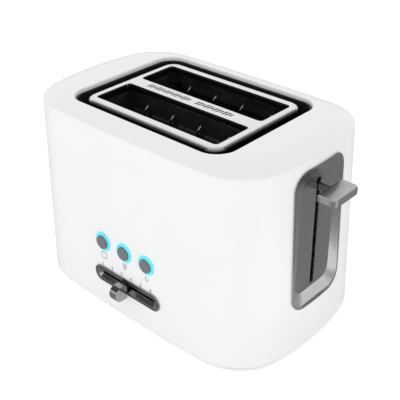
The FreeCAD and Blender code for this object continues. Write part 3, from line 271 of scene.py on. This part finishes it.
def mica_sheet(name):
    """Mica: flaky layers in tan and brown."""
    finish = Finish(name, Coat_Weight=0.35)
    layers = finish.noise(70.0, detail=8.0, stretch=(1, 1, 0.6))
    finish.colours(layers, [(0.3, (0.05, 0.038, 0.025)), (0.5, (0.10, 0.08, 0.055)),
                            (0.72, (0.065, 0.05, 0.036))])
    flakes = finish.cells(260.0)
    finish.roughness(flakes, 0.3, 0.55)
    finish.bump(flakes, 0.06 * MM, 0.4)
    return finish.material


def circuit_board(name):
    """Green solder mask with lighter tracks."""
    finish = Finish(name, Coat_Weight=0.5, Coat_Roughness=0.15)
    tracks = finish.node("ShaderNodeTexBrick")
    tracks.inputs["Scale"].default_value = 180.0
    tracks.inputs["Color1"].default_value = (0.02, 0.13, 0.05, 1)
    tracks.inputs["Color2"].default_value = (0.03, 0.17, 0.07, 1)
    tracks.inputs["Mortar"].default_value = (0.06, 0.26, 0.11, 1)
    finish.link(finish.coordinates((1, 0, 1)), tracks.inputs["Vector"])
    finish.link(tracks.outputs["Color"], finish.shader.inputs["Base Color"])
    finish.roughness(finish.noise(300.0), 0.3, 0.45)
    finish.bump(tracks.outputs["Fac"], 0.04 * MM, 0.5)
    return finish.material


def winding(name):
    """Enamelled copper wire wound in close turns. Its colour is painted darker in the grooves between turns:
    painted shade.
    """
    finish = Finish(name, Metallic=0.9)
    turns = finish.node("ShaderNodeTexWave", bands_direction="Z")
    turns.inputs["Scale"].default_value = 400.0
    turns.inputs["Distortion"].default_value = 0.6
    finish.link(finish.coordinates(), turns.inputs["Vector"])
    # painted shade: dark brown in the grooves between turns, copper on their crowns
    finish.colours(turns.outputs["Fac"], [(0.1, (0.16, 0.05, 0.015)), (0.8, (0.52, 0.22, 0.08))])
    finish.roughness(finish.noise(400.0), 0.25, 0.4)
    finish.bump(turns.outputs["Fac"], 0.25 * MM, 0.8)
    return finish.material


def make_finishes():
    """One material for each of the record's material slots."""
    along_y, along_z = (1, 0.03, 1), (1, 1, 0.03)
    plate_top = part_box("top_plate")[1].z
    guard_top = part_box("bread_guard_front_inner")[1].z
    return {
        "white_housing": plastic("white_housing", (0.88, 0.88, 0.885), 0.36, spread=0.008,
                                 Coat_Weight=0.12, Coat_Roughness=0.22),
        "dark_cover": plastic("dark_cover", (0.035, 0.035, 0.038), 0.55, grain=0.12 * MM, spread=0.12),
        "rubber": plastic("rubber", (0.045, 0.045, 0.048), 0.78, grain=0.16 * MM, spread=0.18,
                          grain_size=0.4 * MM),
        "zinc_steel": plated("zinc_steel", (0.60, 0.61, 0.63), 0.34),
        "dark_trough": plastic("dark_trough", (0.012, 0.012, 0.013), 0.42, spread=0.2),
        "stainless_plate": plate_steel("stainless_plate", (0.80, 0.80, 0.805), plate_top),
        "grey_metallic": metallic_paint("grey_metallic", (0.30, 0.30, 0.305), 0.26),
        "satin_metal": brushed("satin_metal", (0.45, 0.45, 0.455), 0.24, along_y, spread=0.03),
        "grey_print": plastic("grey_print", (0.14, 0.14, 0.145), 0.6, spread=0.1),
        "chrome_trim": plated("chrome_trim", (0.38, 0.38, 0.39), 0.16),
        "chamber_steel": heat_stained("chamber_steel", (0.10, 0.097, 0.10), (0.13, 0.11, 0.095), 0.38),
        "guard_wire": tipped_wire("guard_wire", guard_top - WIRE_TIP),
        "mica": mica_sheet("mica"),
        "heating_ribbon": heat_stained("heating_ribbon", (0.34, 0.31, 0.28), (0.16, 0.12, 0.10), 0.4),
        "ring_light": glowing_ring("ring_light"),
        "button_grey": plastic("button_grey", (0.17, 0.175, 0.18), 0.42, spread=0.05),
        "switch_black": plastic("switch_black", (0.025, 0.025, 0.026), 0.45, spread=0.1),
        "circuit_board": circuit_board("circuit_board"),
        "bracket_plastic": plastic("bracket_plastic", (0.62, 0.60, 0.55), 0.5, spread=0.05),
        "copper_coil": winding("copper_coil"),
        "lamp_clear": plastic("lamp_clear", (0.70, 0.86, 0.88), 0.15, grain=0.01 * MM, Coat_Weight=0.5),
        "tray_aluminium": brushed("tray_aluminium", (0.66, 0.66, 0.67), 0.36, along_z),
    }


def paint(piece, material):
    piece.data.materials.clear()
    piece.data.materials.append(material)


# ---------------------------------------------------------------- mesh helpers
def add_piece(name, mesh, body, material):
    piece = bpy.data.objects.new(name, mesh)
    SCENE.collection.objects.link(piece)
    paint(piece, material)
    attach(piece, body)
    return piece


def mesh_from(name, build):
    """A mesh filled in by build(bm), with its normals outward."""
    bm = bmesh.new()
    build(bm)
    bmesh.ops.recalc_face_normals(bm, faces=bm.faces)
    mesh = bpy.data.meshes.new(name)
    bm.to_mesh(mesh)
    bm.free()
    return mesh


def apply_modifiers(piece):
    """Keep the evaluated mesh and drop the modifiers."""
    evaluated = piece.evaluated_get(bpy.context.evaluated_depsgraph_get())
    mesh = bpy.data.meshes.new_from_object(evaluated)
    piece.modifiers.clear()
    piece.data = mesh


def surface_of(node):
    """A search tree over a CAD node's surface."""
    mesh = NODES[node].data
    return BVHTree.FromPolygons([v.co for v in mesh.vertices], [p.vertices for p in mesh.polygons])


def stadium(half_length, half_width, steps=8):
    """Points round a slit with rounded ends, about the origin, long along v."""
    points = []
    for end in (1, -1):
        for i in range(steps + 1):
            turn = math.pi * i / steps
            points.append((end * half_width * math.cos(turn),
                           end * (half_length - half_width + half_width * math.sin(turn))))
    return points


# ---------------------------------------------------------------- printing on the front wall
IN_FRONT = -1.0
PRINT_LIFT = 0.02 * MM
PRINT_THICK = 0.06 * MM
STROKE = 0.48 * MM
SYMBOL_DROP = 13.8 * MM
STOP_HALF, STOP_CORNER, STOP_WIDER = 2.9 * MM, 0.5 * MM, 1.05
SLICE_HALF, SLICE_CORNER, SLICE_RISE = 1.9 * MM, 0.6 * MM, 0.9 * MM
DROP_PITCH, DROP_TOP, DROP_FOOT = 1.3 * MM, -1.7 * MM, -2.7 * MM
BAR_HALF, BARS_AT = 0.8 * MM, (0.3 * MM, 1.5 * MM)
RING_RADIUS, RING_START, RING_SWEEP = 1.7 * MM, 110, 300
ARROW_HEAD = ((-1.5, 2.6), (-0.5, 1.6), (-1.7, 0.9))
DIGIT_HEIGHT = 3.9 * MM
DIGIT_HEIGHT_PER_SIZE = 0.72
DIGIT_THIN = 0.02 * MM
DIGIT_FIRST, DIGIT_PITCH, DIGIT_RISE = -29.5 * MM, 11.65 * MM, 10.4 * MM


def lay_on_front(bm, wall, x, z):
    """Move a flat drawing in XY to the front wall, bent to it, with (0, 0) at x, z."""
    for vert in bm.verts:
        start = Vector((x + vert.co.x, IN_FRONT, z + vert.co.y))
        hit = wall.ray_cast(start, Vector((0, 1, 0)))[0]
        vert.co = Vector((start.x, hit.y - PRINT_LIFT, start.z))


def thicken_print(bm):
    faces = bmesh.ops.extrude_face_region(bm, geom=list(bm.faces))["geom"]
    lifted = [g for g in faces if isinstance(g, bmesh.types.BMVert)]
    bmesh.ops.translate(bm, vec=(0, -PRINT_THICK, 0), verts=lifted)


def stroke_path(bm, points, closed):
    """A flat mitred line through 2-D points."""
    count = len(points)
    sides = []
    for i, point in enumerate(points):
        before = points[i - 1] if closed or i else point
        after = points[(i + 1) % count] if closed or i < count - 1 else point
        into = Vector(point) - Vector(before)
        out = Vector(after) - Vector(point)
        if not into.length:
            into = out
        if not out.length:
            out = into
        along = (into.normalized() + out.normalized()).normalized()
        across = Vector((-along.y, along.x))
        mitre = 1 / max(0.5, abs(along.dot(into.normalized())))
        half = across * STROKE / 2 * mitre
        centre = Vector(point)
        sides.append([bm.verts.new((*(centre + half), 0)), bm.verts.new((*(centre - half), 0))])
    runs = count if closed else count - 1
    for i in range(runs):
        a, b = sides[i], sides[(i + 1) % count]
        bm.faces.new((a[0], b[0], b[1], a[1]))


def arc(radius, start, sweep, steps=20, at=(0, 0)):
    """Points along an arc. Angles in degrees."""
    angles = [math.radians(start + sweep * i / steps) for i in range(steps + 1)]
    return [(at[0] + radius * math.cos(a), at[1] + radius * math.sin(a)) for a in angles]


def rounded_square(half, radius):
    points = []
    for quarter in range(4):
        turn = math.pi / 2 * quarter
        corner = Matrix.Rotation(turn, 2) @ Vector((half - radius, half - radius))
        points += arc(radius, math.degrees(turn), 90, 5, corner)
    return points


def draw_stop(bm):
    """Stop: an open square, a little wider than high."""
    stroke_path(bm, [(x * STOP_WIDER, y) for x, y in rounded_square(STOP_HALF, STOP_CORNER)], True)


def draw_defrost(bm):
    """Frozen bread: a small slice outline with bars across it and drops falling from it."""
    stroke_path(bm, [(x, y + SLICE_RISE) for x, y in rounded_square(SLICE_HALF, SLICE_CORNER)], True)
    for x in (-DROP_PITCH, 0, DROP_PITCH):
        stroke_path(bm, [(x, DROP_TOP), (x, DROP_FOOT)], False)
    for y in BARS_AT:
        stroke_path(bm, [(-BAR_HALF, y), (BAR_HALF, y)], False)


def draw_reheat(bm):
    """Warm again: an open ring with an arrow head."""
    stroke_path(bm, arc(RING_RADIUS, RING_START, RING_SWEEP), False)
    stroke_path(bm, [(x * MM, y * MM) for x, y in ARROW_HEAD], False)


def draw_digit(text):
    """A thin figure, centred."""
    def draw(bm):
        curve = bpy.data.curves.new("figure", "FONT")
        curve.body = text
        curve.size = DIGIT_HEIGHT / DIGIT_HEIGHT_PER_SIZE
        curve.offset = -DIGIT_THIN
        curve.align_x = "CENTER"
        curve.align_y = "CENTER"
        curve.resolution_u = 4
        holder = bpy.data.objects.new("figure", curve)
        SCENE.collection.objects.link(holder)
        bpy.context.view_layer.update()
        evaluated = holder.evaluated_get(bpy.context.evaluated_depsgraph_get())
        mesh = bpy.data.meshes.new_from_object(evaluated)
        bm.from_mesh(mesh)
        bpy.data.objects.remove(holder)
        bpy.data.meshes.remove(mesh)
        bmesh.ops.remove_doubles(bm, verts=bm.verts, dist=0.001 * MM)
    return draw


def print_mark(name, draw, x, z, wall, material):
    def build(bm):
        draw(bm)
        lay_on_front(bm, wall, x, z)
        thicken_print(bm)
    add_piece(name, mesh_from(name, build), "housing", material)


def make_front_printing(wall, ink):
    """A symbol under each button, and figures 1 to 6 along the browning slider."""
    for place, draw in (("left", draw_stop), ("centre", draw_defrost), ("right", draw_reheat)):
        at = middle(f"light_ring_{place}")
        print_mark(f"symbol_{place}", draw, at.x, at.z - SYMBOL_DROP, wall, ink)
    bezel = middle("slider_bezel")
    for i in range(6):
        x = bezel.x + DIGIT_FIRST + i * DIGIT_PITCH
        print_mark(f"figure_{i + 1}", draw_digit(str(i + 1)), x, bezel.z + DIGIT_RISE, wall, ink)


# ---------------------------------------------------------------- top plate
SLIT_HALF, SLIT_WIDE, SLIT_NARROW = 3.2 * MM, 1.1 * MM, 0.95 * MM
SLIT_DEPTH, ENAMEL_DROP = 0.45 * MM, 0.1 * MM
SLIT_PITCH, SLIT_OFFSET, SLIT_LEAN = 3.3 * MM, 0.6 * MM, 0.2
SLIT_RUNS = ((-50.0 * MM, 1.0 * MM), (6.0 * MM, 46.0 * MM))
SLIT_SHORT = 0.72
CUT_ABOVE, CUT_BELOW, CUT_SPREAD = 0.5 * MM, 0.02 * MM, 1.2
ENAMEL_TOP_FIT, ENAMEL_FIT = 0.94, 0.98


def slit_plan(centre):
    """Where each pressed slit goes and how long it is: two runs, every third slit shorter."""
    plan = []
    for start, stop in SLIT_RUNS:
        for i in range(round((stop - start) / SLIT_PITCH)):
            half = SLIT_HALF * (SLIT_SHORT if i % 3 == 2 else 1.0)
            plan.append((centre + Vector((start + i * SLIT_PITCH, SLIT_OFFSET, 0)), half))
    return plan


def add_plug(bm, at, half, rings):
    """A closed plug of slanted slit outline, through (height, half width) rings from the top down."""
    loops = []
    for z, width in rings:
        outline = stadium(half, width)
        loops.append([bm.verts.new(at + Vector((u + SLIT_LEAN * v, v, z))) for u, v in outline])
    for upper, lower in zip(loops, loops[1:]):
        for i in range(len(upper)):
            j = (i + 1) % len(upper)
            bm.faces.new((upper[i], upper[j], lower[j], lower[i]))
    bm.faces.new(loops[0])
    bm.faces.new(list(reversed(loops[-1])))


def make_top_plate(material, enamel):
    """The CAD plate, with dashes pressed along the bar between the slots and filled with dark enamel."""
    low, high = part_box("top_plate")
    centre = (low + high) / 2
    plan = slit_plan(Vector((centre.x, centre.y, high.z)))
    plate = bpy.data.objects.new("pressed_top_plate", NODES["top_plate"].data.copy())
    SCENE.collection.objects.link(plate)

    def build_cutter(bm):
        rings = ((CUT_ABOVE, SLIT_WIDE * CUT_SPREAD), (-CUT_BELOW, SLIT_WIDE), (-SLIT_DEPTH, SLIT_NARROW))
        for at, half in plan:
            add_plug(bm, at, half, rings)

    def build_fill(bm):
        rings = ((-ENAMEL_DROP, SLIT_WIDE * ENAMEL_TOP_FIT), (-SLIT_DEPTH, SLIT_NARROW * ENAMEL_FIT))
        for at, half in plan:
            add_plug(bm, at, half * ENAMEL_FIT, rings)
    cutter = bpy.data.objects.new("slit_cutter", mesh_from("slit_cutter", build_cutter))
    SCENE.collection.objects.link(cutter)
    cut = plate.modifiers.new("slits", "BOOLEAN")
    cut.operation = "DIFFERENCE"
    cut.solver = "EXACT"
    cut.object = cutter
    apply_modifiers(plate)
    bpy.data.objects.remove(cutter)
    paint(plate, material)
    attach(plate, "housing")
    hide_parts("top_plate")
    fill = mesh_from("plate_dash_enamel", build_fill)
    add_piece("plate_dash_enamel", fill, "housing", enamel)


# ---------------------------------------------------------------- chamber trim
WIRE_AT = tuple(x * MM for x in (-46.5, -15.5, 15.5, 46.5))
WIRE_GAP = 3.0 * MM
DIVIDER_HALF = 4.6 * MM
HEM_AT, HEM_HALF, HEM_PROUD, HEM_EDGE = (0.4 * MM, 1.8 * MM), 0.3 * MM, 0.45 * MM, 0.2 * MM
STRIP_DROP = 2.3 * MM
STRIPS = ((-17.8 * MM, -7.6 * MM), (35.4 * MM, 42.4 * MM))


def add_bar(bm, low, high):
    """A bar between two corners, with every edge rounded."""
    centre, span = (low + high) / 2, high - low
    verts = bmesh.ops.create_cube(bm, size=1.0)["verts"]
    for vert in verts:
        vert.co = centre + Vector([share * length for share, length in zip(vert.co, span)])
    edges = list({edge_of for vert in verts for edge_of in vert.link_edges})
    bmesh.ops.bevel(bm, geom=edges, offset=HEM_EDGE, segments=2, profile=0.5, affect="EDGES")


def make_divider_hems(material):
    """Two rolled hems along each face of the divider's lower edge, broken where the guard wires pass."""
    low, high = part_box("centre_divider")
    centre = (low + high) / 2
    ends = [low.x] + [centre.x + x for x in WIRE_AT] + [high.x]

    def build(bm):
        for side in (-1, 1):
            near, far = sorted((centre.y + side * (DIVIDER_HALF - HEM_HALF),
                                centre.y + side * (DIVIDER_HALF + HEM_PROUD)))
            for rise in HEM_AT:
                z = low.z + rise
                for x0, x1 in zip(ends, ends[1:]):
                    add_bar(bm, Vector((x0 + WIRE_GAP, near, z - HEM_HALF)),
                            Vector((x1 - WIRE_GAP, far, z + HEM_HALF)))
    add_piece("divider_hems", mesh_from("divider_hems", build), "housing", material)


def make_end_strips(material):
    """Folded strips near the top of the left chamber end."""
    low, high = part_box("chamber_end_left")
    middle_y = (low.y + high.y) / 2
    z = high.z - STRIP_DROP

    def build(bm):
        for y0, y1 in STRIPS:
            add_bar(bm, Vector((high.x - HEM_HALF, middle_y + y0, z - HEM_HALF)),
                    Vector((high.x + HEM_PROUD, middle_y + y1, z + HEM_HALF)))
    strips = mesh_from("chamber_end_strips", build)
    add_piece("chamber_end_strips", strips, "housing", material)


# ---------------------------------------------------------------- studio
FLOOR_HALF = 12.0
SKY_LEVELS = ((0.0, 0.35), (0.47, 0.4), (0.51, 1.0), (0.75, 0.98), (0.92, 0.78), (1.0, 0.70))
LIGHT_AIM, LIGHT_SIZE = (0, 0, 0.09), 1.4
CARDS = (("card", (0.30, -0.03, 0.002), (0.30, -0.03, 1.0), (0.26, 0.16), 0.9),
         ("flag_left", (-0.87, -0.78, 0.95), LIGHT_AIM, (1.3, 1.1), 0.03),
         ("flag_right", (0.78, 0.95, 0.87), LIGHT_AIM, (1.1, 1.1), 0.03))
KEY_AT, KEY_WATTS = (-0.9, -1.6, 1.1), 2.6
BACK_AT, BACK_WATTS = (-0.7, 1.6, 1.5), 5.0


def make_floor():
    """A pale table top."""
    def build(bm):
        bmesh.ops.create_grid(bm, x_segments=2, y_segments=2, size=FLOOR_HALF)
    floor = bpy.data.objects.new("floor", mesh_from("floor", build))
    SCENE.collection.objects.link(floor)
    floor.location.z = -0.02 * MM
    finish = Finish("floor", Emission_Color=(1, 1, 1, 1), Emission_Strength=0.34)
    finish.colours(finish.noise(3.0), [(0.3, (0.93, 0.93, 0.935)), (0.7, (0.95, 0.95, 0.95))])
    finish.roughness(finish.noise(8.0), 0.75, 0.85)
    paint(floor, finish.material)
    floor.visible_glossy = False


def aim(position, target):
    """The turn that points a light's or card's -Z at a target."""
    return (Vector(target) - Vector(position)).to_track_quat("-Z", "Y").to_euler()


def make_light(name, position, watts, mirrored=True):
    data = bpy.data.lights.new(name, "AREA")
    data.shape = "SQUARE"
    data.size = LIGHT_SIZE
    data.energy = watts
    light = bpy.data.objects.new(name, data)
    SCENE.collection.objects.link(light)
    light.location = position
    light.rotation_euler = aim(position, LIGHT_AIM)
    light.visible_glossy = mirrored


def make_sky():
    """Even white light round the horizon, softer from above, and grey below for metal to mirror."""
    world = bpy.data.worlds.new("studio")
    world.use_nodes = True
    nodes, links = world.node_tree.nodes, world.node_tree.links
    place = nodes.new("ShaderNodeTexCoord")
    split = nodes.new("ShaderNodeSeparateXYZ")
    ramp = nodes.new("ShaderNodeValToRGB")
    height = nodes.new("ShaderNodeMapRange")
    height.inputs["From Min"].default_value = -1.0
    elements = ramp.color_ramp.elements
    while len(elements) < len(SKY_LEVELS):
        elements.new(0.5)
    for element, (position, level) in zip(elements, SKY_LEVELS):
        element.position = position
        element.color = (level, level, level, 1.0)
    links.new(place.outputs["Generated"], split.inputs["Vector"])
    links.new(split.outputs["Z"], height.inputs["Value"])
    links.new(height.outputs["Result"], ramp.inputs["Fac"])
    links.new(ramp.outputs["Color"], nodes["Background"].inputs["Color"])
    SCENE.world = world


def make_card(name, position, target, size, glow):
    """A card facing a point that only reflections see: white to light metal, black to shade it."""
    def build(bm):
        bmesh.ops.create_grid(bm, x_segments=1, y_segments=1, size=0.5)
    card = bpy.data.objects.new(name, mesh_from(name, build))
    SCENE.collection.objects.link(card)
    card.scale = (*size, 1.0)
    card.location = position
    card.rotation_euler = aim(position, target)
    finish = Finish(name, Emission_Color=(1, 1, 1, 1), Emission_Strength=glow)
    finish.colours(finish.noise(3.0), [(0.3, (0.02, 0.02, 0.02)), (0.7, (0.03, 0.03, 0.03))])
    paint(card, finish.material)
    card.visible_camera = False
    card.visible_diffuse = False
    card.visible_shadow = False


def make_studio():
    make_floor()
    make_sky()
    for card in CARDS:
        make_card(*card)
    make_light("key", KEY_AT, KEY_WATTS)
    make_light("back", BACK_AT, BACK_WATTS, mirrored=False)


make_camera()
FINISHES = make_finishes()
for part in frame["record"]["subparts"]:
    paint(NODES[part["node"]], FINISHES[part["material_slot"]])
make_front_printing(surface_of("housing_shell"), FINISHES["grey_print"])
make_top_plate(FINISHES["stainless_plate"], FINISHES["dark_trough"])
make_divider_hems(FINISHES["zinc_steel"])
make_end_strips(FINISHES["zinc_steel"])
make_studio()
